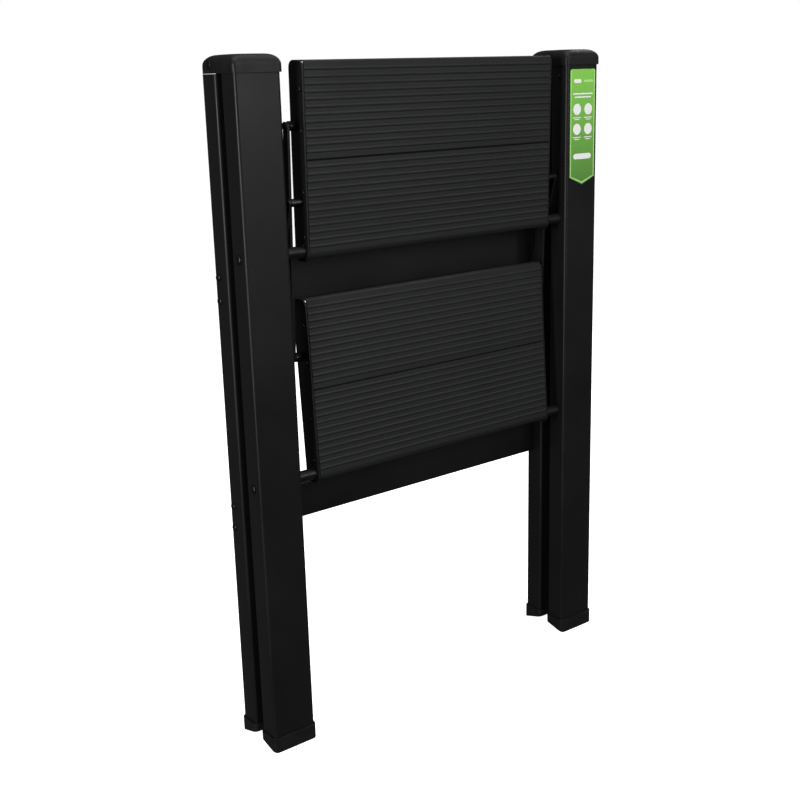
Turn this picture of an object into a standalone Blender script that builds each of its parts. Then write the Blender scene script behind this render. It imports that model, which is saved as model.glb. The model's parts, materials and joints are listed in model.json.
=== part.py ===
"""A folding two-step ladder in painted metal, folded flat, standing on its feet.

Units are metres and +Z is up. The treads face -Y. The origin is at the bottom centre of the folded ladder.
Each body has an empty on its joint's axis, and its pieces are modelled in that empty's axes.
"""

import math

import bmesh
import bpy
from mathutils import Matrix, Vector

# Overall size
FRAME_WIDTH = 0.4772  # over the outer faces of the rails
FRAME_HEIGHT = 0.7106  # floor to the top of the caps
FRONT_Y = -0.0322  # the front rails' front face
GAP = 0.0003  # clearance between pieces that touch
OVERSHOOT = 0.0040  # how far a cutter runs past the wall it cuts

# Rails: rectangular tube with rounded corners
RAIL_WIDTH = 0.0500
RAIL_DEPTH = 0.0255
RAIL_WALL = 0.0015
RAIL_CORNER = 0.0035
LEAST_CORNER = 0.0012
RAIL_CENTRE_X = FRAME_WIDTH / 2 - RAIL_WIDTH / 2
RAIL_INNER_X = FRAME_WIDTH / 2 - RAIL_WIDTH
FRONT_RAIL_BOTTOM = 0.0120
FRONT_RAIL_TOP = 0.7000

# Main hinge between the front and rear frames
HINGE_Y = FRONT_Y + 0.0430
HINGE_Z = 0.7020
REST_SPLAY = math.radians(0.3)  # the rear frame's lean when folded
REAR_FACE = -0.0078  # the rear rails' front face, behind the hinge axis
REAR_RAIL_TOP = -0.0085
REAR_RAIL_BOTTOM = -0.6890
HINGE_PIN_RADIUS = 0.0027
HINGE_HEAD_HEIGHT = 0.0008
PLUG_INSET = 0.0030  # the plug's top below the rear rail's top
PLUG_LENGTH = 0.0230
PLUG_CORNER = 0.0020

# Feet: their soles lie flat on the floor when the ladder is open
FRONT_LEAN = math.radians(14.6)
REAR_LEAN = math.radians(16.4)
SLEEVE_WALL = 0.0015
FOOT_SEAM_Z = 0.0168

# Caps over the rail tops
CAP_BOTTOM = 0.6938
CAP_BACK_Y = FRONT_Y + 0.0580
CAP_ROUND = 0.0095
CAP_CORNER = 0.0045
CAP_CORNER_GROWTH = 0.6  # how much the cap's corners widen as its top draws in
BAY_CORNER = 0.0020
SLOT_CORNER = 0.0010
BAY_ROOF = 0.7030
SLOT_ROOF = 0.7085
TONGUE_RADIUS = 0.0060
TONGUE_HALF_WIDTH = 0.0160

# Rungs that carry the steps
RUNG_Y = FRONT_Y + 0.0132
UPPER_RUNG_Z = 0.5225
LOWER_RUNG_Z = 0.2920
RUNG_RADIUS = 0.0061
RUNG_BORE = 0.0043
RUNG_SCREW_RADIUS = 0.0028
RUNG_SCREW_HEAD = (0.0048, 0.0022)  # radius and height
RUNG_SIDES = 20

# Steps: two ribbed planks between two end plates, hung on a rung
STEP_LENGTH = 0.1820  # rung axis to the folded top edge
STEP_FACE = 0.0090  # rung axis to the tread surface
STEP_BACK = 0.0144  # rung axis to the plates' back edge
UPPER_REST_LEAN = math.radians(1.2)
LOWER_REST_LEAN = math.radians(-3.5)
PLATE_OUTER_X = 0.1651
PLATE_THICKNESS = 0.0020
PLATE_CORNER = 0.0070
PLATE_BOTTOM = -0.0100  # below the rung axis
PLANK_SPLIT = 0.0885
PLANK_SKIN = 0.0018
PLANK_FLANGE = 0.0120
PLANK_WEB = 0.0014
PLANK_BOTTOM = -0.0055
PLANK_EDGE = 0.0012
STIFFENER_SHARES = (0.66, 0.33)  # places of the two inner webs up the plank
STIFFENER_INSET = 0.0030  # how much shorter they are than the flanges
RIB_PITCH = 0.0070
RIB_WIDTH = 0.0034
RIB_HEIGHT = 0.0005
RIB_COUNT = 12
NOSE_WRAP = math.radians(40)
NOSE_STEPS = 5

# Crossbars between the rear rails
CROSSBAR_HEIGHT = 0.0400
UPPER_CROSSBAR_HEIGHT = 0.0460
CROSSBAR_DEPTH = 0.0080
CROSSBAR_WALL = 0.0012
CROSSBAR_INSET = 0.0142  # behind the rear rails' front face
UPPER_CROSSBAR_Z = -0.2127
LOWER_CROSSBAR_Z = -0.4514
CROSSBAR_CORNER = 0.0028
CROSSBAR_SCREW_OFFSET = 0.0117
CROSSBAR_SCREW_RADIUS = 0.0020
CROSSBAR_SCREW_HEAD = (0.0038, 0.0018)  # radius and height
SCREW_REACH = 0.0120  # how far a screw runs in past a rail's inner face
BUTTON_HEAD = ((0.45, 1.0), (0.85, 0.75), (1.0, 0.40))  # shares of head height and radius

# Tie bars join the steps, brace links join the upper step to the rear frame
TIE_INNER_X = 0.1725
BRACE_INNER_X = 0.1785
LINK_THICKNESS = 0.0030
LINK_WIDTH = 0.0080
TIE_TOP = (0.0080, 0.1210)  # Y and Z in the upper step's axes
TIE_BOTTOM = (0.0080, 0.1225)  # Y and Z in the lower step's axes
BRACE_TOP = (0.0, 0.0487)  # Y and Z in the upper step's axes
BRACE_BOTTOM = (-0.0005, -0.2370)  # Y and Z in the rear frame's axes
LINK_PIN_RADIUS = 0.0027
PIN_HEAD_RADIUS = 0.0045
PIN_HEAD_HEIGHT = 0.0012
HEAD_TOP = 0.8  # the top of a rivet's head as a share of its radius
SPACER_RADIUS = 0.0048
BRACE_STUD_RADIUS = 0.0040

# Label on the right front rail
LABEL_WIDTH = 0.0400
LABEL_TOP = 0.6890
LABEL_BOTTOM = 0.5690
LABEL_TIP = 0.5605
LABEL_THICKNESS = 0.0004
LABEL_CORNER = 0.0020

ROUND_SIDES = 14
SMOOTH_ANGLE = math.radians(35)
SIDES = (("left", -1), ("right", 1))


def clear_scene():
    for obj in list(bpy.data.objects):
        bpy.data.objects.remove(obj)


def make_material(name, colour, roughness, metallic):
    material = bpy.data.materials.new(name)
    material.use_nodes = True
    shader = material.node_tree.nodes["Principled BSDF"]
    shader.inputs["Base Color"].default_value = (*colour, 1.0)
    shader.inputs["Roughness"].default_value = roughness
    shader.inputs["Metallic"].default_value = metallic
    return material


def make_empty(name, location, lean=0.0):
    empty = bpy.data.objects.new(name, None)
    empty.location = location
    empty.rotation_euler = (lean, 0.0, 0.0)
    bpy.context.scene.collection.objects.link(empty)
    return empty


def make_object(name, bm, material, parent):
    """Turns a bmesh into an object in its parent's axes, shaded smooth across its rounded edges."""
    bmesh.ops.recalc_face_normals(bm, faces=bm.faces)
    mesh = bpy.data.meshes.new(name)
    bm.to_mesh(mesh)
    bm.free()
    mesh.materials.append(material)
    mesh.shade_smooth()
    mesh.set_sharp_from_angle(angle=SMOOTH_ANGLE)
    obj = bpy.data.objects.new(name, mesh)
    obj.parent = parent
    bpy.context.scene.collection.objects.link(obj)
    return obj


def loft(rings, closed=False):
    """A bmesh skinned over rings of equal length; it is capped at both ends unless it closes on itself."""
    bm = bmesh.new()
    loops = [[bm.verts.new(point) for point in ring] for ring in rings]
    pairs = list(zip(loops, loops[1:]))
    if closed:
        pairs.append((loops[-1], loops[0]))
    else:
        bm.faces.new(loops[0])
        bm.faces.new(loops[-1])
    for first, second in pairs:
        for i in range(len(first)):
            j = (i + 1) % len(first)
            bm.faces.new((first[i], first[j], second[j], second[i]))
    return bm


def combine(obj, bm, name, operation):
    """Joins the shape bm, in the object's own axes, to the object with a Boolean, or takes it out."""
    helper = make_object(name, bm, obj.data.materials[0], obj.parent)
    helper.hide_render = True
    helper.display_type = "WIRE"
    modifier = obj.modifiers.new(name, "BOOLEAN")
    modifier.object = helper
    modifier.operation = operation
    modifier.solver = "EXACT"


def cut(obj, bm, name):
    combine(obj, bm, name, "DIFFERENCE")


def rounded_rectangle(centre, half_x, half_y, radius, steps=4):
    """Points (x, y) round a rectangle with rounded corners."""
    points = []
    for turn, (sx, sy) in enumerate(((1, 1), (-1, 1), (-1, -1), (1, -1))):
        corner = (centre[0] + sx * (half_x - radius), centre[1] + sy * (half_y - radius))
        for i in range(steps + 1):
            angle = math.pi / 2 * (turn + i / steps)
            points.append((corner[0] + radius * math.cos(angle), corner[1] + radius * math.sin(angle)))
    return points


def circle(radius, sides=ROUND_SIDES):
    return [
        (radius * math.cos(2 * math.pi * i / sides), radius * math.sin(2 * math.pi * i / sides))
        for i in range(sides)
    ]


def at_z(points, z):
    return [(x, y, z) for x, y in points]


def at_x(points, x):
    return [(x, y, z) for y, z in points]


def turned(profile, centre):
    """A solid turned about an axis along X through centre (y, z); profile lists (x, radius)."""
    y, z = centre
    return loft([[(x, y + a, z + b) for a, b in circle(radius)] for x, radius in profile])


def flip_x(bm):
    """Mirrors a shape modelled for the right side onto the left side."""
    bmesh.ops.scale(bm, vec=Vector((-1.0, 1.0, 1.0)), verts=bm.verts)
    return bm


def for_side(bm, side):
    return flip_x(bm) if side < 0 else bm


def cylinder_cutter(x0, x1, radius, centre):
    return turned([(x0, radius), (x1, radius)], centre)


def rail_cutter(radius, centre):
    """A cutter through both side walls of a rail."""
    return cylinder_cutter(RAIL_INNER_X - OVERSHOOT, FRAME_WIDTH / 2 + OVERSHOOT, radius, centre)


def rail_section(y_centre, grow):
    return rounded_rectangle(
        (RAIL_CENTRE_X, y_centre),
        RAIL_WIDTH / 2 + grow,
        RAIL_DEPTH / 2 + grow,
        max(RAIL_CORNER + grow, LEAST_CORNER),
    )


def tube_rings(y_centre, bottom, top):
    outer = rail_section(y_centre, 0.0)
    inner = rail_section(y_centre, -RAIL_WALL)
    return [at_z(outer, bottom), at_z(outer, top), at_z(inner, top), at_z(inner, bottom)]


def front_rail(name, side, material, parent):
    tube = loft(tube_rings(FRONT_Y + RAIL_DEPTH / 2, FRONT_RAIL_BOTTOM, FRONT_RAIL_TOP), True)
    rail = make_object(name, for_side(tube, side), material, parent)
    for level, z in (("upper", UPPER_RUNG_Z), ("lower", LOWER_RUNG_Z)):
        hole = rail_cutter(RUNG_SCREW_RADIUS + GAP, (RUNG_Y, z))
        cut(rail, for_side(hole, side), f"{name}_{level}_hole")


def crossbar_screw_places():
    """Y and Z of each crossbar screw in the rear frame's axes, with its name."""
    y = REAR_FACE + CROSSBAR_INSET + CROSSBAR_DEPTH / 2
    for level, z in (("upper", UPPER_CROSSBAR_Z), ("lower", LOWER_CROSSBAR_Z)):
        for place, offset in (("top", CROSSBAR_SCREW_OFFSET), ("bottom", -CROSSBAR_SCREW_OFFSET)):
            yield f"{level}_{place}", (y, z + offset)


def rear_rail(name, side, material, parent):
    tube = loft(tube_rings(REAR_FACE + RAIL_DEPTH / 2, REAR_RAIL_BOTTOM, REAR_RAIL_TOP), True)
    rail = make_object(name, for_side(tube, side), material, parent)
    for place, centre in crossbar_screw_places():
        hole = rail_cutter(CROSSBAR_SCREW_RADIUS + GAP, centre)
        cut(rail, for_side(hole, side), f"{name}_{place}_hole")
    pin_hole = cylinder_cutter(
        RAIL_INNER_X - OVERSHOOT, RAIL_INNER_X + OVERSHOOT, LINK_PIN_RADIUS + GAP, BRACE_BOTTOM
    )
    cut(rail, for_side(pin_hole, side), f"{name}_brace_hole")


def foot(name, side, y_centre, seam, rail_bottom, sole, material, parent):
    """A cup over a rail's end; sole(y) gives the height of its slanted underside."""
    outer = rail_section(y_centre, GAP + SLEEVE_WALL)
    socket = rail_section(y_centre, GAP)
    rings = [
        [(x, y, sole(y)) for x, y in outer],
        at_z(outer, seam),
        at_z(socket, seam),
        at_z(socket, rail_bottom - GAP),
    ]
    make_object(name, for_side(loft(rings), side), material, parent)


def front_foot(name, side, material, parent):
    front_edge = FRONT_Y - GAP - SLEEVE_WALL

    def sole(y):
        return (y - front_edge) * math.tan(FRONT_LEAN)

    centre_y = FRONT_Y + RAIL_DEPTH / 2
    foot(name, side, centre_y, FOOT_SEAM_Z, FRONT_RAIL_BOTTOM, sole, material, parent)


def rear_foot(name, side, material, parent):
    back_edge = REAR_FACE + RAIL_DEPTH + GAP + SLEEVE_WALL
    floor = -(HINGE_Z + back_edge * math.sin(REST_SPLAY)) / math.cos(REST_SPLAY)

    def sole(y):
        return floor + (back_edge - y) * math.tan(REAR_LEAN)

    centre_y = REAR_FACE + RAIL_DEPTH / 2
    foot(name, side, centre_y, FOOT_SEAM_Z - HINGE_Z, REAR_RAIL_BOTTOM, sole, material, parent)


def hinge_cap(name, side, material, parent):
    """One cap over both rail tops: a pillow with a socket for the front rail and a bay for the rear rail."""
    grow = GAP + SLEEVE_WALL
    front = FRONT_Y - grow
    centre = (RAIL_CENTRE_X, (front + CAP_BACK_Y) / 2)
    half_x = RAIL_WIDTH / 2 + grow
    half_y = (CAP_BACK_Y - front) / 2
    shoulder = FRAME_HEIGHT - CAP_ROUND
    rings = [at_z(rounded_rectangle(centre, half_x, half_y, CAP_CORNER), CAP_BOTTOM)]
    turns = 6
    for i in range(turns + 1):
        angle = math.pi / 2 * i / turns
        inset = CAP_ROUND * (1 - math.cos(angle))
        corner = CAP_CORNER + CAP_CORNER_GROWTH * inset
        ring = rounded_rectangle(centre, half_x - inset, half_y - inset, corner)
        rings.append(at_z(ring, shoulder + CAP_ROUND * math.sin(angle)))
    cap = make_object(name, for_side(loft(rings), side), material, parent)

    socket = rail_section(FRONT_Y + RAIL_DEPTH / 2, GAP)
    socket_bm = loft([at_z(socket, CAP_BOTTOM - OVERSHOOT), at_z(socket, FRONT_RAIL_TOP + GAP)])
    cut(cap, for_side(socket_bm, side), f"{name}_socket")

    bay_front = FRONT_Y + RAIL_DEPTH + GAP + SLEEVE_WALL
    bay_half = (CAP_BACK_Y + OVERSHOOT - bay_front) / 2
    bay_centre = (RAIL_CENTRE_X, bay_front + bay_half)
    bay = rounded_rectangle(bay_centre, RAIL_WIDTH / 2 + GAP, bay_half, BAY_CORNER, 2)
    bay_bm = loft([at_z(bay, CAP_BOTTOM - OVERSHOOT), at_z(bay, BAY_ROOF)])
    cut(cap, for_side(bay_bm, side), f"{name}_bay")

    slot_half = TONGUE_RADIUS + 2 * GAP
    slot_centre = (RAIL_CENTRE_X, HINGE_Y)
    slot = rounded_rectangle(slot_centre, TONGUE_HALF_WIDTH + 2 * GAP, slot_half, SLOT_CORNER, 2)
    slot_bm = loft([at_z(slot, BAY_ROOF - OVERSHOOT), at_z(slot, SLOT_ROOF)])
    cut(cap, for_side(slot_bm, side), f"{name}_slot")

    hole = rail_cutter(HINGE_PIN_RADIUS + GAP, (HINGE_Y, HINGE_Z))
    cut(cap, for_side(hole, side), f"{name}_pin_hole")


def hinge_pin(name, side, material, parent):
    """A rivet through the cap's cheeks and the tongue of the rear rail."""
    outer = FRAME_WIDTH / 2 + GAP + SLEEVE_WALL + GAP
    inner = RAIL_INNER_X - GAP - SLEEVE_WALL - GAP
    profile = [
        (inner - HINGE_HEAD_HEIGHT, PIN_HEAD_RADIUS * HEAD_TOP),
        (inner - HINGE_HEAD_HEIGHT / 2, PIN_HEAD_RADIUS),
        (inner, PIN_HEAD_RADIUS),
        (inner, HINGE_PIN_RADIUS),
        (outer, HINGE_PIN_RADIUS),
        (outer, PIN_HEAD_RADIUS),
        (outer + HINGE_HEAD_HEIGHT / 2, PIN_HEAD_RADIUS),
        (outer + HINGE_HEAD_HEIGHT, PIN_HEAD_RADIUS * HEAD_TOP),
    ]
    make_object(name, for_side(turned(profile, (HINGE_Y, HINGE_Z)), side), material, parent)


def hinge_tongue(name, side, material, parent):
    """A plug in the rear rail's top, with a rounded tongue above it that turns on the hinge pin."""
    clearance = RAIL_WALL + GAP
    plug_top = REAR_RAIL_TOP - PLUG_INSET
    centre = (RAIL_CENTRE_X, REAR_FACE + RAIL_DEPTH / 2)
    section = rounded_rectangle(centre, RAIL_WIDTH / 2 - clearance, RAIL_DEPTH / 2 - clearance, PLUG_CORNER)
    plug = loft([at_z(section, plug_top - PLUG_LENGTH), at_z(section, plug_top)])
    block = make_object(name, for_side(plug, side), material, parent)
    steps = 10
    outline = [(TONGUE_RADIUS, plug_top - OVERSHOOT)]
    for i in range(steps + 1):
        angle = math.pi * i / steps
        outline.append((TONGUE_RADIUS * math.cos(angle), TONGUE_RADIUS * math.sin(angle)))
    outline.append((-TONGUE_RADIUS, plug_top - OVERSHOOT))
    x0 = RAIL_CENTRE_X - TONGUE_HALF_WIDTH
    x1 = RAIL_CENTRE_X + TONGUE_HALF_WIDTH
    tongue = loft([at_x(outline, x0), at_x(outline, x1)])
    combine(block, for_side(tongue, side), f"{name}_upper", "UNION")
    bore = cylinder_cutter(x0 - OVERSHOOT, x1 + OVERSHOOT, HINGE_PIN_RADIUS + GAP, (0.0, 0.0))
    cut(block, for_side(bore, side), f"{name}_bore")


def rung(name, z, material, parent):
    half = RAIL_INNER_X - GAP
    rings = []
    for radius, x in ((RUNG_RADIUS, -half), (RUNG_RADIUS, half), (RUNG_BORE, half), (RUNG_BORE, -half)):
        rings.append([(x, RUNG_Y + a, z + b) for a, b in circle(radius, RUNG_SIDES)])
    make_object(name, loft(rings, True), material, parent)


def button_screw(name, side, shaft, head, centre, material, parent):
    """A button-head screw from outside a rail, through both its walls, into a bar's end."""
    radius, height = head
    seat = FRAME_WIDTH / 2
    profile = [(RAIL_INNER_X - SCREW_REACH, shaft), (seat + GAP, shaft), (seat + GAP, radius)]
    profile += [(seat + height * up, radius * share) for up, share in BUTTON_HEAD]
    make_object(name, for_side(turned(profile, centre), side), material, parent)


def end_plate(name, side, material, parent):
    """A flat plate that closes a step's end, with holes for the rung and the pins."""
    half_y = (STEP_FACE + STEP_BACK) / 2
    half_z = (STEP_LENGTH - PLATE_BOTTOM) / 2
    centre = ((STEP_BACK - STEP_FACE) / 2, PLATE_BOTTOM + half_z)
    outline = rounded_rectangle(centre, half_y, half_z, PLATE_CORNER)
    inner_x = PLATE_OUTER_X - PLATE_THICKNESS
    rings = [at_x(outline, inner_x), at_x(outline, PLATE_OUTER_X)]
    plate = make_object(name, for_side(loft(rings), side), material, parent)
    holes = [("rung", (0.0, 0.0), RUNG_RADIUS + GAP)]
    if name.startswith("upper"):
        holes.append(("tie", TIE_TOP, LINK_PIN_RADIUS + GAP))
        holes.append(("brace", BRACE_TOP, LINK_PIN_RADIUS + GAP))
    else:
        holes.append(("tie", TIE_BOTTOM, LINK_PIN_RADIUS + GAP))
    for use, centre, radius in holes:
        hole = cylinder_cutter(inner_x - OVERSHOOT, PLATE_OUTER_X + OVERSHOOT, radius, centre)
        cut(plate, for_side(hole, side), f"{name}_{use}_hole")


def rib_points(z_bottom, z_top):
    """The ribbed face of a plank, bottom to top: low rounded ribs along X between smooth margins."""
    first = (z_bottom + z_top) / 2 - RIB_PITCH * (RIB_COUNT - 1) / 2
    steps = 4
    points = []
    for i in range(RIB_COUNT):
        for k in range(steps + 1):
            z = first + i * RIB_PITCH + RIB_WIDTH * (k / steps - 0.5)
            points.append((-STEP_FACE - RIB_HEIGHT * math.sin(math.pi * k / steps), z))
    return points


def plank_section(z_bottom, z_top, nose):
    """The (y, z) section of a plank: a ribbed skin with webs behind, and a nose round the rung."""
    skin = -STEP_FACE + PLANK_SKIN
    back = -STEP_FACE + PLANK_FLANGE
    if nose:
        turns = [NOSE_WRAP * k / NOSE_STEPS for k in range(NOSE_STEPS + 1)]
        outer = [(-STEP_FACE * math.cos(turn), -STEP_FACE * math.sin(turn)) for turn in reversed(turns)]
        inner = [(skin * math.cos(turn), skin * math.sin(turn)) for turn in turns]
    else:
        outer = [(-STEP_FACE + PLANK_EDGE, z_bottom), (-STEP_FACE, z_bottom + PLANK_EDGE)]
        inner = [(skin, z_bottom + PLANK_WEB), (back, z_bottom + PLANK_WEB), (back, z_bottom)]
    points = outer + rib_points(max(z_bottom, 0.0), z_top)
    points += [(-STEP_FACE, z_top - PLANK_EDGE), (-STEP_FACE + PLANK_EDGE, z_top)]
    points += [(back, z_top), (back, z_top - PLANK_WEB), (skin, z_top - PLANK_WEB)]
    reach = back - STIFFENER_INSET
    for share in STIFFENER_SHARES:
        z = z_bottom + (z_top - z_bottom) * share
        points += [(skin, z), (reach, z), (reach, z - PLANK_WEB), (skin, z - PLANK_WEB)]
    return points + inner


def plank(name, z_bottom, z_top, nose, material, parent):
    outline = plank_section(z_bottom, z_top, nose)
    half = PLATE_OUTER_X - PLATE_THICKNESS - GAP
    make_object(name, loft([at_x(outline, -half), at_x(outline, half)]), material, parent)


def step(level, material, parent):
    plank(f"{level}_tread_front_plank", PLANK_BOTTOM, PLANK_SPLIT - GAP, True, material, parent)
    plank(f"{level}_tread_back_plank", PLANK_SPLIT + GAP, STEP_LENGTH, False, material, parent)
    for side_name, side in SIDES:
        end_plate(f"{level}_end_plate_{side_name}", side, material, parent)


def crossbar(name, z_centre, height, material, parent):
    """A flat rectangular tube between the rear rails."""
    half = RAIL_INNER_X - GAP
    centre = (REAR_FACE + CROSSBAR_INSET + CROSSBAR_DEPTH / 2, z_centre)
    rings = []
    for shrink, x in ((0.0, -half), (0.0, half), (CROSSBAR_WALL, half), (CROSSBAR_WALL, -half)):
        section = rounded_rectangle(
            centre, CROSSBAR_DEPTH / 2 - shrink, height / 2 - shrink, CROSSBAR_CORNER - shrink, 3
        )
        rings.append(at_x(section, x))
    make_object(name, loft(rings, True), material, parent)


def link_bar(name, side, inner_x, length, material, parent):
    """A flat bar with round ends, from its empty's origin down its -Z axis, with an eye at the origin."""
    radius = LINK_WIDTH / 2
    steps = 8
    half_turn = [math.pi * i / steps for i in range(steps + 1)]
    outline = [(radius * math.cos(turn), radius * math.sin(turn)) for turn in half_turn]
    outline += [(-radius * math.cos(turn), -length - radius * math.sin(turn)) for turn in half_turn]
    rings = [at_x(outline, inner_x), at_x(outline, inner_x + LINK_THICKNESS)]
    bar = make_object(name, for_side(loft(rings), side), material, parent)
    outer_x = inner_x + LINK_THICKNESS
    eye = cylinder_cutter(inner_x - OVERSHOOT, outer_x + OVERSHOOT, LINK_PIN_RADIUS + GAP, (0.0, 0.0))
    cut(bar, for_side(eye, side), f"{name}_eye")


def through_pin(name, side, centre, link_x, material, parent):
    """A pin from inside an end plate, over a spacer, through a link at link_x to its head."""
    inner = PLATE_OUTER_X - PLATE_THICKNESS - GAP
    outer = link_x + LINK_THICKNESS + GAP
    profile = [
        (inner - PIN_HEAD_HEIGHT, PIN_HEAD_RADIUS * HEAD_TOP),
        (inner, PIN_HEAD_RADIUS),
        (inner, LINK_PIN_RADIUS),
        (PLATE_OUTER_X + GAP, LINK_PIN_RADIUS),
        (PLATE_OUTER_X + GAP, SPACER_RADIUS),
        (link_x - GAP, SPACER_RADIUS),
        (link_x - GAP, LINK_PIN_RADIUS),
        (outer, LINK_PIN_RADIUS),
        (outer, PIN_HEAD_RADIUS),
        (outer + PIN_HEAD_HEIGHT, PIN_HEAD_RADIUS * HEAD_TOP),
    ]
    make_object(name, for_side(turned(profile, centre), side), material, parent)


def stub_pin(name, side, centre, link_x, radius, material, parent):
    """A pin from inside an end plate that ends as a spacer just short of a link at link_x."""
    inner = PLATE_OUTER_X - PLATE_THICKNESS - GAP
    profile = [
        (inner - PIN_HEAD_HEIGHT, PIN_HEAD_RADIUS * HEAD_TOP),
        (inner, PIN_HEAD_RADIUS),
        (inner, LINK_PIN_RADIUS),
        (PLATE_OUTER_X + GAP, LINK_PIN_RADIUS),
        (PLATE_OUTER_X + GAP, radius),
        (link_x - GAP, radius),
    ]
    make_object(name, for_side(turned(profile, centre), side), material, parent)


def brace_pin(name, side, material, parent):
    """A pin from inside the rear rail's wall, over a spacer, through the brace link's lower eye."""
    wall = RAIL_INNER_X + RAIL_WALL + GAP
    inner = BRACE_INNER_X - GAP
    outer = BRACE_INNER_X + LINK_THICKNESS + GAP
    profile = [
        (inner - PIN_HEAD_HEIGHT, PIN_HEAD_RADIUS * HEAD_TOP),
        (inner, PIN_HEAD_RADIUS),
        (inner, LINK_PIN_RADIUS),
        (outer, LINK_PIN_RADIUS),
        (outer, PIN_HEAD_RADIUS),
        (RAIL_INNER_X - GAP, PIN_HEAD_RADIUS),
        (RAIL_INNER_X - GAP, LINK_PIN_RADIUS),
        (wall, LINK_PIN_RADIUS),
        (wall, PIN_HEAD_RADIUS),
        (wall + PIN_HEAD_HEIGHT, PIN_HEAD_RADIUS * HEAD_TOP),
    ]
    make_object(name, for_side(turned(profile, BRACE_BOTTOM), side), material, parent)


def label(name, material, parent):
    """A thin sticker on the right front rail, with a pointed lower end."""
    half = LABEL_WIDTH / 2
    top = [(half - LABEL_CORNER, LABEL_TOP), (half, LABEL_TOP - LABEL_CORNER)]
    outline = top + [(half, LABEL_BOTTOM), (0.0, LABEL_TIP), (-half, LABEL_BOTTOM)]
    outline += [(-x, z) for x, z in reversed(top)]
    front = FRONT_Y - GAP - LABEL_THICKNESS
    rings = [[(RAIL_CENTRE_X + x, y, z) for x, z in outline] for y in (front, FRONT_Y - GAP)]
    make_object(name, loft(rings), material, parent)


def to_world(pivot, lean, place):
    """A place (y, z) in a body's axes, as world coordinates in the plane X = 0."""
    return Matrix.Translation(pivot) @ Matrix.Rotation(lean, 4, "X") @ Vector((0.0, *place))


def lean_between(top, bottom):
    """The lean about X that turns -Z from top towards bottom."""
    way = bottom - top
    return math.atan2(way.y, -way.z)


def front_frame(paint, plastic, steel, sticker):
    frame = make_empty("front_frame", (0.0, 0.0, 0.0))
    for side_name, side in SIDES:
        front_rail(f"front_rail_{side_name}", side, paint, frame)
        front_foot(f"front_foot_{side_name}", side, plastic, frame)
        hinge_cap(f"hinge_cap_{side_name}", side, plastic, frame)
        hinge_pin(f"hinge_pin_{side_name}", side, steel, frame)
    for level, z in (("upper", UPPER_RUNG_Z), ("lower", LOWER_RUNG_Z)):
        rung(f"{level}_rung", z, paint, frame)
        for side_name, side in SIDES:
            name = f"{level}_rung_screw_{side_name}"
            button_screw(name, side, RUNG_SCREW_RADIUS, RUNG_SCREW_HEAD, (RUNG_Y, z), steel, frame)
    label("label", sticker, frame)


def rear_frame(paint, plastic, steel, pivot):
    frame = make_empty("rear_frame", pivot, REST_SPLAY)
    for side_name, side in SIDES:
        rear_rail(f"rear_rail_{side_name}", side, paint, frame)
        rear_foot(f"rear_foot_{side_name}", side, plastic, frame)
        hinge_tongue(f"hinge_tongue_{side_name}", side, plastic, frame)
        brace_pin(f"brace_pin_{side_name}", side, steel, frame)
        for place, centre in crossbar_screw_places():
            name = f"{place}_crossbar_screw_{side_name}"
            button_screw(name, side, CROSSBAR_SCREW_RADIUS, CROSSBAR_SCREW_HEAD, centre, steel, frame)
    crossbar("upper_crossbar", UPPER_CROSSBAR_Z, UPPER_CROSSBAR_HEIGHT, paint, frame)
    crossbar("lower_crossbar", LOWER_CROSSBAR_Z, CROSSBAR_HEIGHT, paint, frame)


def steps_and_links(paint, steel, hinge):
    upper_pivot = Vector((0.0, RUNG_Y, UPPER_RUNG_Z))
    lower_pivot = Vector((0.0, RUNG_Y, LOWER_RUNG_Z))
    upper = make_empty("upper_step", upper_pivot, UPPER_REST_LEAN)
    lower = make_empty("lower_step", lower_pivot, LOWER_REST_LEAN)
    step("upper", paint, upper)
    step("lower", paint, lower)

    tie_top = to_world(upper_pivot, UPPER_REST_LEAN, TIE_TOP)
    tie_bottom = to_world(lower_pivot, LOWER_REST_LEAN, TIE_BOTTOM)
    brace_top = to_world(upper_pivot, UPPER_REST_LEAN, BRACE_TOP)
    brace_bottom = to_world(hinge, REST_SPLAY, BRACE_BOTTOM)
    tie_length = (tie_bottom - tie_top).length
    brace_length = (brace_bottom - brace_top).length
    for side_name, side in SIDES:
        tie = make_empty(f"tie_{side_name}", tie_top, lean_between(tie_top, tie_bottom))
        link_bar(f"tie_bar_{side_name}", side, TIE_INNER_X, tie_length, paint, tie)
        through_pin(f"upper_tie_pin_{side_name}", side, TIE_TOP, TIE_INNER_X, steel, upper)
        stub_pin(f"lower_tie_pin_{side_name}", side, TIE_BOTTOM, TIE_INNER_X, SPACER_RADIUS, steel, lower)

        brace = make_empty(f"brace_{side_name}", brace_bottom, lean_between(brace_bottom, brace_top))
        link_bar(f"brace_link_{side_name}", side, BRACE_INNER_X, brace_length, paint, brace)
        stub_pin(f"brace_stud_{side_name}", side, BRACE_TOP, BRACE_INNER_X, BRACE_STUD_RADIUS, steel, upper)


def main():
    clear_scene()
    paint = make_material("black_powder_coat", (0.012, 0.012, 0.013), 0.38, 0.0)
    plastic = make_material("black_plastic", (0.014, 0.014, 0.014), 0.50, 0.0)
    steel = make_material("black_steel", (0.030, 0.030, 0.030), 0.30, 1.0)
    sticker = make_material("green_sticker", (0.180, 0.480, 0.060), 0.35, 0.0)
    hinge = Vector((0.0, HINGE_Y, HINGE_Z))
    front_frame(paint, plastic, steel, sticker)
    rear_frame(paint, plastic, steel, hinge)
    steps_and_links(paint, steel, hinge)


main()
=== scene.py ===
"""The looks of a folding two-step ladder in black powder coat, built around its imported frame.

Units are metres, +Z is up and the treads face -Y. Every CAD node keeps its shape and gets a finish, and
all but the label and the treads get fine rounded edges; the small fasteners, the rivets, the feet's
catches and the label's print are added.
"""
import json
import math

import bmesh
import bpy
from mathutils import Matrix, Vector


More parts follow.
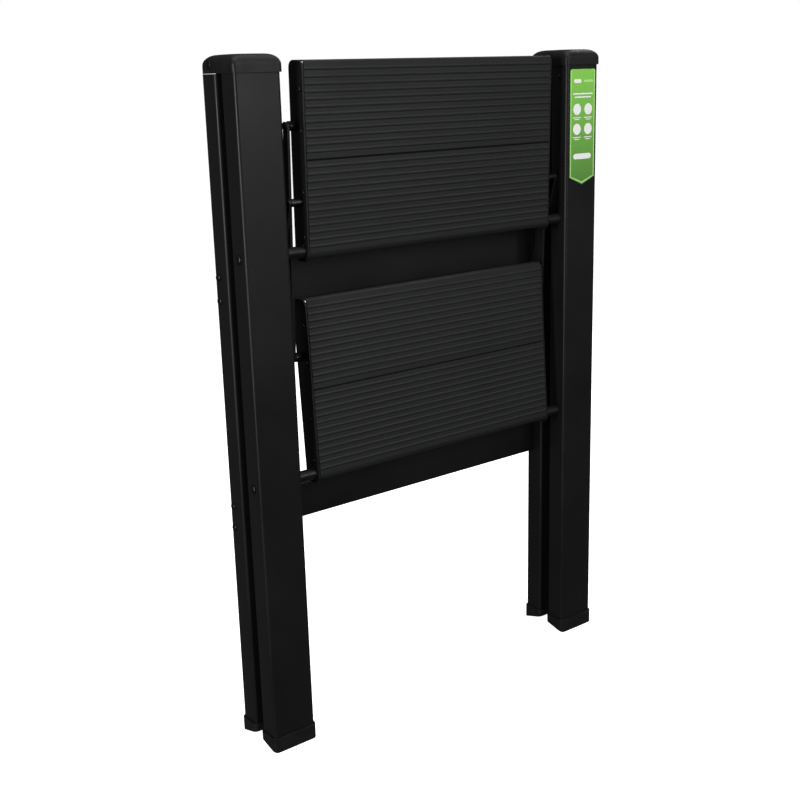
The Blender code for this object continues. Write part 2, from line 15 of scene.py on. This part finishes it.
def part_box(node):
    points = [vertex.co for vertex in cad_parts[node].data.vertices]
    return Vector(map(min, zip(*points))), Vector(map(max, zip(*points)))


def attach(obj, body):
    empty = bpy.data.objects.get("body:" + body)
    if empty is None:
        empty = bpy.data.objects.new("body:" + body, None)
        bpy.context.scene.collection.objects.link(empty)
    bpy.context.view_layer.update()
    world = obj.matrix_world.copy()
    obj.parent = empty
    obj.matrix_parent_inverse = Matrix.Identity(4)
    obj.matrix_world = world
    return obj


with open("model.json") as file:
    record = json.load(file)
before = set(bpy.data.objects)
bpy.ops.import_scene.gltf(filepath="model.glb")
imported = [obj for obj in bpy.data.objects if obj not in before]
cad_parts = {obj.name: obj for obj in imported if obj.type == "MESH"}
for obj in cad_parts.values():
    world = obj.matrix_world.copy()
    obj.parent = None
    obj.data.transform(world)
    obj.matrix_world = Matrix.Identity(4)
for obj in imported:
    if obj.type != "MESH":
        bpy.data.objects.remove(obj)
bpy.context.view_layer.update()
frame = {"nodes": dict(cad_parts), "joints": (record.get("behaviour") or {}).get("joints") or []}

SIDES = (("left", -1), ("right", 1))
LEVELS = ("upper", "lower")

# How the steps lean about their rungs when folded, as the frame has them
STEP_LEAN = {"upper": math.radians(1.2), "lower": math.radians(-3.5)}

# End-plate screws: four to a plate, by distance from the rung axis
PLATE_SCREW_PLACES = (0.014, 0.058, 0.116, 0.155)
PLATE_SCREW_Y = -0.0030
PLATE_SCREW_RADIUS = 0.0026
PLATE_SCREW_HEIGHT = 0.0013
SCREW_TURN_PER_NUMBER = 0.7
SCREW_TURN_PER_SIDE = 0.4

# Rivets
LINK_HALF_WIDTH = 0.0040
LINK_RIVET_RADIUS = 0.0036
LINK_RIVET_HEIGHT = 0.0014
CAP_RIVET_RADIUS = 0.0027
CAP_RIVET_HEIGHT = 0.0011
CAP_RIVET_BELOW_SEAM = 0.0130

# Snap catches on the feet
CATCH_RADIUS = 0.0030
CATCH_HEIGHT = 0.0006
CATCH_ABOVE_MIDDLE = 0.002

# Edge radii
PLASTIC_EDGE = 0.0004
STEEL_EDGE = 0.0002
PLATE_EDGE = 0.0003
FRAME_EDGE = 0.0002

# Label print
PRINT_THICKNESS = 0.00008
PRINT_GAP = 0.00002
TIP_DROP = 0.0085
EDGE_INSET = 0.0006
BORDER_SHORTER = 0.001
BORDER_THICKNESS = 0.0013
DISC_ROWS = (-0.0440, -0.0660)
DISC_COLUMNS = (-0.0090, 0.0090)
DISC_RADIUS = 0.0062
NOTE_WIDTHS = (0.0130, 0.0080)
NOTE_BELOW_DISC = 0.0092
NOTE_PITCH = 0.0021
NOTE_HEIGHT = 0.0009
LINE_WIDTHS = (0.0320, 0.0270)
LINE_TOP = -0.0270
LINE_PITCH = 0.0036
LINE_HEIGHT = 0.0015

# Single bars on the label: centre, width and height
MARK_LEFT = ((-0.0085, -0.0130), 0.0120, 0.0042)
MARK_RIGHT = ((0.0090, -0.0130), 0.0150, 0.0026)
BOTTOM_BAR = ((0.0, -0.0965), 0.0290, 0.0062)

# The camera stands left of the ladder, a little below the height of its top
CAMERA_PLACE = Vector((-0.80298, -0.99535, 0.68680))
CAMERA_TURN = math.radians(-37.64)
CAMERA_TILT = math.radians(-15.32)
CAMERA_ROLL = math.radians(-1.63)
CAMERA_LENS = 53.17
CAMERA_SENSOR = 36.0

# The black finishes reflect less than bare paint does
COAT_SPECULAR = 0.24

# Studio
FLOOR_HALF_SIZE = 30.0
FLOOR_GLOW = 0.96
WORLD_SEEN = 1.0
WORLD_LIGHT = 0.09
MIDDLE = (0.0, 0.0, 0.36)

# The colour sockets of a Mix node
MIX_FIRST = 6
MIX_SECOND = 7
MIX_RESULT = 2


def new_material(name):
    """A material with a default Principled shader; returns it with its nodes, links and shader."""
    material = bpy.data.materials.new(name)
    material.use_nodes = True
    tree = material.node_tree
    return material, tree.nodes, tree.links, tree.nodes["Principled BSDF"]


def object_coordinates(nodes, links, scale):
    """The object's own coordinates, stretched by scale (x, y, z)."""
    place = nodes.new("ShaderNodeTexCoord")
    mapping = nodes.new("ShaderNodeMapping")
    mapping.inputs["Scale"].default_value = scale
    links.new(place.outputs["Object"], mapping.inputs["Vector"])
    return mapping.outputs["Vector"]


def noise(nodes, links, vector, scale, detail=2.0, rough=0.5):
    texture = nodes.new("ShaderNodeTexNoise")
    texture.inputs["Scale"].default_value = scale
    texture.inputs["Detail"].default_value = detail
    texture.inputs["Roughness"].default_value = rough
    links.new(vector, texture.inputs["Vector"])
    return texture.outputs["Fac"]


def blend_colours(nodes, links, factor, first, second, low=0.3, high=0.7):
    """A colour that runs from first to second as factor goes from low to high."""
    ramp = nodes.new("ShaderNodeValToRGB")
    ramp.color_ramp.elements[0].position = low
    ramp.color_ramp.elements[0].color = (*first, 1.0)
    ramp.color_ramp.elements[1].position = high
    ramp.color_ramp.elements[1].color = (*second, 1.0)
    links.new(factor, ramp.inputs["Fac"])
    return ramp.outputs["Color"]


def spread(nodes, links, factor, low, high):
    """A number that runs from low to high over the noise's usual range."""
    span = nodes.new("ShaderNodeMapRange")
    span.inputs["From Min"].default_value = 0.3
    span.inputs["From Max"].default_value = 0.7
    span.inputs["To Min"].default_value = low
    span.inputs["To Max"].default_value = high
    links.new(factor, span.inputs["Value"])
    return span.outputs["Result"]


def bump(nodes, links, height, distance, strength, under=None):
    node = nodes.new("ShaderNodeBump")
    node.inputs["Distance"].default_value = distance
    node.inputs["Strength"].default_value = strength
    links.new(height, node.inputs["Height"])
    if under is not None:
        links.new(under, node.inputs["Normal"])
    return node.outputs["Normal"]


def powder_coat(name, dark, light, rough):
    """Baked powder coat: a fine orange peel over a faint long wave, with patches a little more matt."""
    material, nodes, links, shader = new_material(name)
    place = object_coordinates(nodes, links, (1.0, 1.0, 1.0))
    patches = noise(nodes, links, place, 14.0, 3.0)
    peel = noise(nodes, links, place, 1100.0, 2.0)
    wave = noise(nodes, links, place, 90.0, 1.0)
    grain = noise(nodes, links, place, 3200.0, 1.0)
    links.new(blend_colours(nodes, links, grain, dark, light), shader.inputs["Base Color"])
    links.new(spread(nodes, links, patches, rough[0], rough[1]), shader.inputs["Roughness"])
    swell = bump(nodes, links, wave, 0.00025, 0.10)
    links.new(bump(nodes, links, peel, 0.00006, 0.45, swell), shader.inputs["Normal"])
    shader.inputs["Specular IOR Level"].default_value = COAT_SPECULAR
    return material


def extruded_coat(name, dark, light, rough):
    """Coated extrusion: the coat's grain, with faint draw lines along X."""
    material, nodes, links, shader = new_material(name)
    place = object_coordinates(nodes, links, (1.0, 1.0, 1.0))
    along = object_coordinates(nodes, links, (2.0, 420.0, 420.0))
    lines = noise(nodes, links, along, 2.0, 3.0, 0.6)
    patches = noise(nodes, links, place, 11.0, 2.0)
    peel = noise(nodes, links, place, 1400.0, 2.0)
    links.new(blend_colours(nodes, links, lines, dark, light), shader.inputs["Base Color"])
    links.new(spread(nodes, links, patches, rough[0], rough[1]), shader.inputs["Roughness"])
    drawn = bump(nodes, links, lines, 0.00008, 0.25)
    links.new(bump(nodes, links, peel, 0.00006, 0.40, drawn), shader.inputs["Normal"])
    shader.inputs["Specular IOR Level"].default_value = COAT_SPECULAR
    return material


def moulded_plastic(name, dark, light, rough):
    """Moulded plastic with a fine spark-eroded grain."""
    material, nodes, links, shader = new_material(name)
    place = object_coordinates(nodes, links, (1.0, 1.0, 1.0))
    cells = nodes.new("ShaderNodeTexVoronoi")
    cells.inputs["Scale"].default_value = 1500.0
    links.new(place, cells.inputs["Vector"])
    shade = noise(nodes, links, place, 60.0, 3.0)
    links.new(blend_colours(nodes, links, shade, dark, light), shader.inputs["Base Color"])
    links.new(spread(nodes, links, shade, rough[0], rough[1]), shader.inputs["Roughness"])
    links.new(bump(nodes, links, cells.outputs["Distance"], 0.00008, 0.35), shader.inputs["Normal"])
    shader.inputs["Specular IOR Level"].default_value = COAT_SPECULAR
    return material


def blackened_steel(name, dark, light, rough):
    """Black-finished steel with fine tool marks."""
    material, nodes, links, shader = new_material(name)
    shader.inputs["Metallic"].default_value = 1.0
    place = object_coordinates(nodes, links, (1.0, 1.0, 1.0))
    marks = noise(nodes, links, place, 700.0, 4.0, 0.6)
    links.new(blend_colours(nodes, links, marks, dark, light), shader.inputs["Base Color"])
    links.new(spread(nodes, links, marks, rough[0], rough[1]), shader.inputs["Roughness"])
    links.new(bump(nodes, links, marks, 0.00005, 0.30), shader.inputs["Normal"])
    return material


def printed_vinyl(name, low_z, high_z, bottom, top, rough):
    """Vinyl film whose colour fades up its height, with a faint printed mottle."""
    material, nodes, links, shader = new_material(name)
    place = object_coordinates(nodes, links, (1.0, 1.0, 1.0))
    split = nodes.new("ShaderNodeSeparateXYZ")
    links.new(place, split.inputs["Vector"])
    rise = nodes.new("ShaderNodeMapRange")
    rise.inputs["From Min"].default_value = low_z
    rise.inputs["From Max"].default_value = high_z
    links.new(split.outputs["Z"], rise.inputs["Value"])
    mottle = noise(nodes, links, place, 220.0, 3.0)
    mix = nodes.new("ShaderNodeMix")
    mix.data_type = "RGBA"
    mix.blend_type = "OVERLAY"
    mix.inputs["Factor"].default_value = 0.12
    fade = blend_colours(nodes, links, rise.outputs["Result"], bottom, top, 0.0, 1.0)
    links.new(fade, mix.inputs[MIX_FIRST])
    speckle = blend_colours(nodes, links, mottle, (0.42, 0.42, 0.42), (0.58, 0.58, 0.58))
    links.new(speckle, mix.inputs[MIX_SECOND])
    links.new(mix.outputs[MIX_RESULT], shader.inputs["Base Color"])
    links.new(spread(nodes, links, mottle, rough[0], rough[1]), shader.inputs["Roughness"])
    links.new(bump(nodes, links, mottle, 0.00003, 0.20), shader.inputs["Normal"])
    return material


def shade_round(mesh):
    mesh.shade_smooth()
    mesh.set_sharp_from_angle(angle=math.radians(35))


def soften_edges(obj, width, segments=2):
    """Rounds the hard edges of a node through modifiers, so that they catch the light."""
    weld = obj.modifiers.new("weld", "WELD")
    weld.merge_threshold = 0.000005
    bevel = obj.modifiers.new("fine_edges", "BEVEL")
    bevel.width = width
    bevel.segments = segments
    bevel.limit_method = "ANGLE"
    bevel.angle_limit = math.radians(40)
    bevel.use_clamp_overlap = True
    normals = obj.modifiers.new("even_normals", "WEIGHTED_NORMAL")
    normals.keep_sharp = False
    normals.weight = 80


def set_material(obj, material):
    obj.data.materials.clear()
    obj.data.materials.append(material)


def finish_for(node):
    """The finish and the edge radius of a CAD node, by what the piece is."""
    if node == "label":
        return LABEL_GREEN, 0.0
    if "tread" in node:
        return TREAD_COAT, 0.0
    if "foot" in node or "cap" in node or "tongue" in node:
        return PLASTIC, PLASTIC_EDGE
    if "screw" in node or "pin" in node or "stud" in node:
        return STEEL, STEEL_EDGE
    if "end_plate" in node or "tie_bar" in node or "brace_link" in node:
        return COAT, PLATE_EDGE
    return COAT, FRAME_EDGE


def make_piece(name, bm, material, body):
    """A bmesh as a shaded piece that rides on a body."""
    bmesh.ops.recalc_face_normals(bm, faces=bm.faces)
    mesh = bpy.data.meshes.new(name)
    bm.to_mesh(mesh)
    bm.free()
    shade_round(mesh)
    mesh.materials.append(material)
    piece = bpy.data.objects.new(name, mesh)
    bpy.context.scene.collection.objects.link(piece)
    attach(piece, body)
    return piece


def revolve(profile, sides=28):
    """A closed solid turned about +X from (x, radius) rings; a ring of radius 0 is a pole."""
    bm = bmesh.new()
    rings = []
    for x, radius in profile:
        if radius == 0.0:
            rings.append([bm.verts.new((x, 0.0, 0.0))])
            continue
        turns = [2 * math.pi * i / sides for i in range(sides)]
        rings.append([bm.verts.new((x, radius * math.cos(t), radius * math.sin(t))) for t in turns])
    for first, second in zip(rings, rings[1:]):
        for i in range(sides):
            j = (i + 1) % sides
            corners = [first[i % len(first)], first[j % len(first)]]
            corners += [second[j % len(second)], second[i % len(second)]]
            unique = list(dict.fromkeys(corners))
            if len(unique) > 2:
                bm.faces.new(unique)
    return bm


def dome(radius, height, steps=6):
    """A low domed head that stands on the plane X = 0 and rises along +X."""
    edge = height * 0.25
    profile = [(0.0, 0.0), (0.0, radius * 0.97), (edge, radius)]
    for i in range(1, steps):
        turn = math.pi / 2 * i / steps
        profile.append((edge + (height - edge) * math.sin(turn), radius * math.cos(turn)))
    profile.append((height, 0.0))
    return revolve(profile)


def cross_recess_screw(radius, height):
    """A pan head along +X with a cross-shaped recess sunk in its top."""
    arm = radius * 0.62
    half = radius * 0.15
    depth = height * 0.55
    round_steps = 5
    bm = bmesh.new()
    corners = []
    for quarter in range(4):
        turn = Matrix.Rotation(math.pi / 2 * quarter, 3, "X")
        for y, z in ((arm, -half), (arm, half), (half, half)):
            corners.append(turn @ Vector((0.0, y, z)))

    def ring_at(x, scale):
        return [bm.verts.new((x, p.y * scale, p.z * scale)) for p in corners]

    floor = ring_at(height - depth, 0.75)
    lip = ring_at(height, 1.0)
    outer = []
    for step in range(round_steps + 1):
        turn = math.pi / 2 * step / round_steps
        grow = radius * (0.78 + 0.22 * math.sin(turn))
        x = height * (0.25 + 0.75 * math.cos(turn))
        spokes = [Vector((0.0, p.y, p.z)).normalized() * grow for p in corners]
        outer.append([bm.verts.new((x, s.y, s.z)) for s in spokes])
    outer.append([bm.verts.new((0.0, v.co.y, v.co.z)) for v in outer[-1]])
    bm.faces.new(floor)
    bm.faces.new(outer[-1])
    for first, second in zip([floor, lip] + outer[:-1], [lip] + outer):
        for i in range(len(first)):
            j = (i + 1) % len(first)
            bm.faces.new((first[i], first[j], second[j], second[i]))
    return bm


def place_mesh(bm, matrix):
    bmesh.ops.transform(bm, matrix=matrix, verts=bm.verts)
    return bm


def facing(side):
    """Turns +X to the ladder's left or right."""
    return Matrix.Rotation(math.pi, 4, "Z") if side < 0 else Matrix.Identity(4)


def pivot_of(joint_name):
    for joint in frame["joints"]:
        if joint["name"] == joint_name:
            return Vector(joint["pos_m"])
    raise KeyError(joint_name)


# ---------------------------------------------------------------- materials
label_low, label_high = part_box("label")
COAT = powder_coat(
    "black_powder_coat", (0.0030, 0.0030, 0.0033), (0.0058, 0.0058, 0.0062), (0.36, 0.50)
)
TREAD_COAT = extruded_coat(
    "black_extruded_coat", (0.0075, 0.0079, 0.0083), (0.0120, 0.0126, 0.0132), (0.46, 0.60)
)
PLASTIC = moulded_plastic(
    "black_moulded_plastic", (0.0034, 0.0034, 0.0034), (0.0062, 0.0062, 0.0062), (0.44, 0.58)
)
STEEL = blackened_steel("black_finished_steel", (0.020, 0.020, 0.021), (0.050, 0.050, 0.052), (0.28, 0.42))
LABEL_GREEN = printed_vinyl(
    "green_vinyl", label_low.z, label_high.z, (0.085, 0.235, 0.040), (0.240, 0.620, 0.085), (0.34, 0.46)
)
LABEL_EDGE = printed_vinyl(
    "pale_green_ink", label_low.z, label_high.z, (0.420, 0.740, 0.250), (0.420, 0.780, 0.240), (0.36, 0.48)
)
LABEL_WHITE = printed_vinyl(
    "white_ink", label_low.z, label_high.z, (0.880, 0.890, 0.870), (0.910, 0.920, 0.900), (0.36, 0.48)
)


# ---------------------------------------------------------------- CAD nodes
for node_name, node in frame["nodes"].items():
    finish, edge_width = finish_for(node_name)
    set_material(node, finish)
    if edge_width > 0.0:
        soften_edges(node, edge_width)


# ---------------------------------------------------------------- end-plate screws
for level in LEVELS:
    rung = pivot_of(f"{level}_step_hinge")
    lean = Matrix.Translation(rung) @ Matrix.Rotation(STEP_LEAN[level], 4, "X")
    for side_name, side in SIDES:
        low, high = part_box(f"{level}_end_plate_{side_name}")
        outer_x = max(abs(low.x), abs(high.x))
        for number, along in enumerate(PLATE_SCREW_PLACES, 1):
            seat = Matrix.Translation((side * outer_x, PLATE_SCREW_Y, along))
            turn = SCREW_TURN_PER_NUMBER * number + SCREW_TURN_PER_SIDE * side
            spin = Matrix.Rotation(turn, 4, "X")
            bm = cross_recess_screw(PLATE_SCREW_RADIUS, PLATE_SCREW_HEIGHT)
            place_mesh(bm, lean @ seat @ facing(side) @ spin)
            screw_name = f"{level}_plate_screw_{side_name}_{number}"
            make_piece(screw_name, bm, STEEL, f"{level}_step")


# ---------------------------------------------------------------- rivets on the links' free ends
def link_end(node, pivot, climbs):
    """The middle of a link's free round end, from the node's box."""
    low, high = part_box(node)
    reach = (high.z - low.z) - 2 * LINK_HALF_WIDTH
    end_z = pivot.z + (reach if climbs else -reach)
    shift = (high.y - low.y) - 2 * LINK_HALF_WIDTH
    ahead = abs(high.y - LINK_HALF_WIDTH - pivot.y)
    behind = abs(low.y + LINK_HALF_WIDTH - pivot.y)
    toward = 1 if ahead > behind else -1
    return Vector((0.0, pivot.y + toward * shift, end_z))


for side_name, side in SIDES:
    for kind, climbs in (("tie_bar", False), ("brace_link", True)):
        node_name = f"{kind}_{side_name}"
        body = node_name.replace("_bar", "").replace("_link", "")
        end = link_end(node_name, pivot_of(f"{body}_pivot"), climbs)
        low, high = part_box(node_name)
        seat = Matrix.Translation((side * max(abs(low.x), abs(high.x)), end.y, end.z))
        bm = place_mesh(dome(LINK_RIVET_RADIUS, LINK_RIVET_HEIGHT), seat @ facing(side))
        make_piece(f"{kind}_rivet_{side_name}", bm, STEEL, body)


# ---------------------------------------------------------------- cap rivets and foot catches
for side_name, side in SIDES:
    low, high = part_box(f"front_rail_{side_name}")
    inner_x = min(abs(low.x), abs(high.x))
    cap_low, cap_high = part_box(f"hinge_cap_{side_name}")
    seat = Matrix.Translation((side * inner_x, (low.y + high.y) / 2, cap_low.z - CAP_RIVET_BELOW_SEAM))
    bm = place_mesh(dome(CAP_RIVET_RADIUS, CAP_RIVET_HEIGHT), seat @ facing(-side))
    make_piece(f"cap_rivet_{side_name}", bm, STEEL, "front_frame")
    for frame_name in ("front", "rear"):
        low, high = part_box(f"{frame_name}_foot_{side_name}")
        inner_x = min(abs(low.x), abs(high.x))
        seat_z = (low.z + high.z) / 2 + CATCH_ABOVE_MIDDLE
        seat = Matrix.Translation((side * inner_x, (low.y + high.y) / 2, seat_z))
        bm = place_mesh(dome(CATCH_RADIUS, CATCH_HEIGHT), seat @ facing(-side))
        catch_name = f"{frame_name}_foot_catch_{side_name}"
        make_piece(catch_name, bm, PLASTIC, f"{frame_name}_frame")


# ---------------------------------------------------------------- label print
def flat_print(name, outline, material):
    """A thin printed shape on the label, from (x, z) points measured from the label's middle top."""
    middle_x = (label_low.x + label_high.x) / 2
    bm = bmesh.new()
    rings = []
    for y in (label_low.y - PRINT_GAP - PRINT_THICKNESS, label_low.y - PRINT_GAP):
        rings.append([bm.verts.new((middle_x + x, y, label_high.z + z)) for x, z in outline])
    bm.faces.new(rings[0])
    bm.faces.new(rings[1])
    for i in range(len(outline)):
        j = (i + 1) % len(outline)
        bm.faces.new((rings[0][i], rings[0][j], rings[1][j], rings[1][i]))
    return make_piece(name, bm, material, "front_frame")


def bar_outline(centre, width, height, steps=5):
    """A bar with round ends."""
    radius = height / 2
    points = []
    for end in (1, -1):
        for i in range(steps + 1):
            turn = -math.pi / 2 + math.pi * i / steps
            x = centre[0] + end * (width / 2 - radius + radius * math.cos(turn))
            points.append((x, centre[1] + end * radius * math.sin(turn)))
    return points


def disc_outline(centre, radius, sides=28):
    turns = [2 * math.pi * i / sides for i in range(sides)]
    return [(centre[0] + radius * math.cos(t), centre[1] + radius * math.sin(t)) for t in turns]


def border_outline(width, height, tip, thickness):
    """A closed band that follows the label's sides and its point, as one outline round both its edges."""
    half = width / 2
    outer = [(-half, 0.0), (-half, -height), (0.0, -height - tip), (half, -height), (half, 0.0)]
    inner_half = half - thickness
    rise = thickness * 0.55
    inner = [(inner_half, 0.0), (inner_half, -height + rise), (0.0, -height - tip + thickness * 1.35)]
    inner += [(-inner_half, -height + rise), (-inner_half, 0.0)]
    return outer + inner


label_width = label_high.x - label_low.x
label_drop = label_high.z - label_low.z
border = border_outline(
    label_width - 2 * EDGE_INSET,
    label_drop - TIP_DROP - BORDER_SHORTER,
    TIP_DROP - BORDER_SHORTER,
    BORDER_THICKNESS,
)
flat_print("label_border", [(x, z - EDGE_INSET) for x, z in border], LABEL_EDGE)
for row, z in enumerate(DISC_ROWS):
    for column, x in enumerate(DISC_COLUMNS):
        place = (x, z)
        flat_print(f"label_disc_{row}_{column}", disc_outline(place, DISC_RADIUS), LABEL_WHITE)
        for line, width in enumerate(NOTE_WIDTHS):
            note = bar_outline((x, z - NOTE_BELOW_DISC - NOTE_PITCH * line), width, NOTE_HEIGHT)
            flat_print(f"label_note_{row}_{column}_{line}", note, LABEL_WHITE)
for line, width in enumerate(LINE_WIDTHS):
    stripe = bar_outline((0.0, LINE_TOP - LINE_PITCH * line), width, LINE_HEIGHT)
    flat_print(f"label_line_{line}", stripe, LABEL_WHITE)
flat_print("label_mark_left", bar_outline(*MARK_LEFT), LABEL_WHITE)
flat_print("label_mark_right", bar_outline(*MARK_RIGHT), LABEL_EDGE)
flat_print("label_bar", bar_outline(*BOTTOM_BAR), LABEL_WHITE)


# ---------------------------------------------------------------- camera
def camera_matrix():
    """The camera's place and turn, from its azimuth, tilt and roll."""
    turn, tilt, roll = CAMERA_TURN, CAMERA_TILT, CAMERA_ROLL
    ahead = Vector((-math.sin(turn) * math.cos(tilt), math.cos(turn) * math.cos(tilt), math.sin(tilt)))
    right = Vector((math.cos(turn), math.sin(turn), 0.0))
    up = right.cross(ahead)
    across = right * math.cos(roll) + up * math.sin(roll)
    upward = -right * math.sin(roll) + up * math.cos(roll)
    matrix = Matrix((across, upward, -ahead)).transposed().to_4x4()
    matrix.translation = CAMERA_PLACE
    return matrix


camera_data = bpy.data.cameras.new("camera")
camera_data.lens = CAMERA_LENS
camera_data.sensor_width = CAMERA_SENSOR
camera = bpy.data.objects.new("camera", camera_data)
camera.matrix_world = camera_matrix()
bpy.context.scene.collection.objects.link(camera)
bpy.context.scene.camera = camera


# ---------------------------------------------------------------- studio
def softbox(name, place, target, size, power):
    data = bpy.data.lights.new(name, "AREA")
    data.shape = "RECTANGLE"
    data.size = size[0]
    data.size_y = size[1]
    data.energy = power
    light = bpy.data.objects.new(name, data)
    light.location = place
    way = Vector(target) - Vector(place)
    light.rotation_euler = way.to_track_quat("-Z", "Y").to_euler()
    bpy.context.scene.collection.objects.link(light)


def pale_floor():
    """A white studio floor that is left out of reflections and of bounced light."""
    bm = bmesh.new()
    bmesh.ops.create_grid(bm, x_segments=2, y_segments=2, size=FLOOR_HALF_SIZE)
    mesh = bpy.data.meshes.new("floor")
    bm.to_mesh(mesh)
    bm.free()
    floor = bpy.data.objects.new("floor", mesh)
    bpy.context.scene.collection.objects.link(floor)
    floor.visible_glossy = False
    floor.visible_diffuse = False
    material, nodes, links, shader = new_material("pale_floor")
    place = object_coordinates(nodes, links, (1.0, 1.0, 1.0))
    clouds = noise(nodes, links, place, 3.0, 3.0)
    pale = blend_colours(nodes, links, clouds, (0.84, 0.84, 0.84), (0.88, 0.88, 0.88))
    links.new(pale, shader.inputs["Base Color"])
    links.new(spread(nodes, links, clouds, 0.80, 0.90), shader.inputs["Roughness"])
    shader.inputs["Specular IOR Level"].default_value = 0.0
    shader.inputs["Emission Color"].default_value = (1.0, 1.0, 1.0, 1.0)
    shader.inputs["Emission Strength"].default_value = FLOOR_GLOW
    mesh.materials.append(material)


pale_floor()
softbox("left_tall", (-1.70, -0.55, 0.62), (-0.15, 0.0, 0.34), (0.30, 1.00), 24.0)
softbox("front_wide", (0.75, -2.60, 1.35), MIDDLE, (1.60, 1.20), 42.0)
softbox("overhead", (0.0, -0.30, 2.60), MIDDLE, (2.40, 2.40), 44.0)
softbox("right_rim", (1.80, 0.60, 1.20), MIDDLE, (0.60, 1.40), 16.0)

world = bpy.data.worlds.new("studio")
world.use_nodes = True
world_nodes = world.node_tree.nodes
world_links = world.node_tree.links
dim = world_nodes["Background"]
dim.inputs["Color"].default_value = (1.0, 1.0, 1.0, 1.0)
dim.inputs["Strength"].default_value = WORLD_LIGHT
bright = world_nodes.new("ShaderNodeBackground")
bright.inputs["Color"].default_value = (1.0, 1.0, 1.0, 1.0)
bright.inputs["Strength"].default_value = WORLD_SEEN
seen = world_nodes.new("ShaderNodeLightPath")
choice = world_nodes.new("ShaderNodeMixShader")
world_links.new(seen.outputs["Is Camera Ray"], choice.inputs["Fac"])
world_links.new(dim.outputs["Background"], choice.inputs[1])
world_links.new(bright.outputs["Background"], choice.inputs[2])
world_links.new(choice.outputs["Shader"], world_nodes["World Output"].inputs["Surface"])
bpy.context.scene.world = world
bpy.context.scene.view_settings.view_transform = "Standard"
